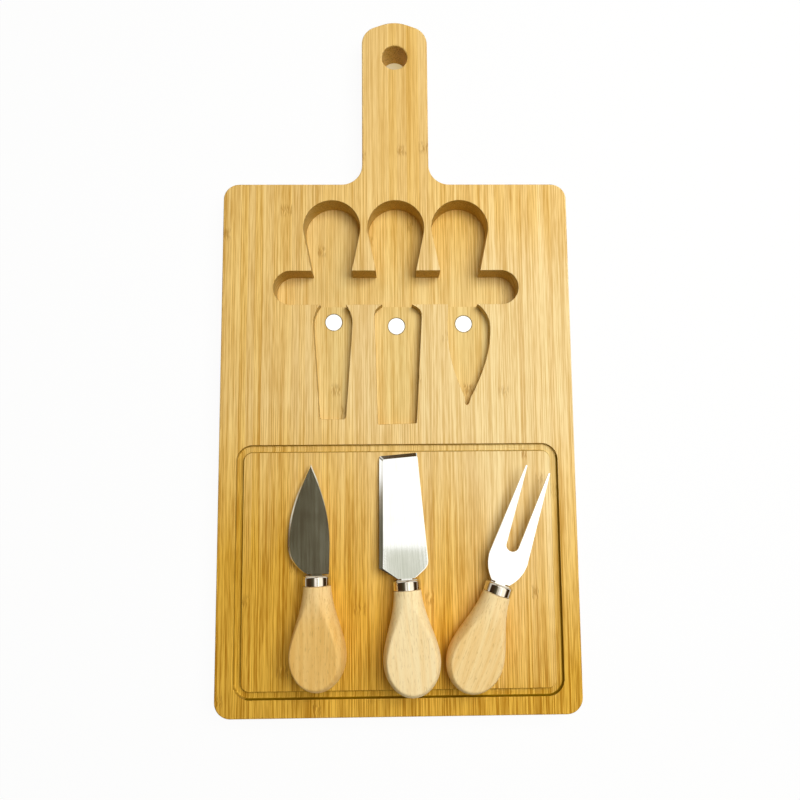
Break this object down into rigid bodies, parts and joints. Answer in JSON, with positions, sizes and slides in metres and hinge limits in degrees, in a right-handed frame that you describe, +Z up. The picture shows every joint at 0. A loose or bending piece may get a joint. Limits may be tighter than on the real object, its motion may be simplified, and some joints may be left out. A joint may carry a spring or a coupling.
{
  "type": "cheese board with tools",
  "caption": "Flat bamboo cheese board with a paddle handle, pockets with magnets for its knives and fork, a finger slot and a juice groove. The tools lie on it.",
  "frame": {"origin": "middle of the board's length and width, on the surface that it stands on", "axes": "+X across the board, +Y along it towards its handle, +Z up"},
  "size_m": [0.2, 0.4014, 0.0363],
  "materials": {
    "bamboo": "oiled bamboo",
    "nickel": "plated",
    "blade_steel": "satin",
    "ferrule_steel": "polished",
    "pale_wood": "sanded"
  },
  "bodies": {
    "board": {"board": "bamboo", "magnet_left": "nickel", "magnet_middle": "nickel", "magnet_right": "nickel"},
    "pointed_knife": {"pointed_knife_blade": "blade_steel", "pointed_knife_ferrule": "ferrule_steel", "pointed_knife_handle": "pale_wood"},
    "flat_knife": {"flat_knife_blade": "blade_steel", "flat_knife_ferrule": "ferrule_steel", "flat_knife_handle": "pale_wood"},
    "fork": {"fork_blade": "blade_steel", "fork_ferrule": "ferrule_steel", "fork_handle": "pale_wood"}
  },
  "joints": [
    {"name": "pointed_knife_lift", "type": "slide", "parent": "board", "child": "pointed_knife", "axis": [0, 0, 1], "range_m": [0, 0.12]},
    {"name": "flat_knife_lift", "type": "slide", "parent": "board", "child": "flat_knife", "axis": [0, 0, 1], "range_m": [0, 0.12]},
    {"name": "fork_lift", "type": "slide", "parent": "board", "child": "fork", "axis": [0, 0, 1], "range_m": [0, 0.12]}
  ]
}
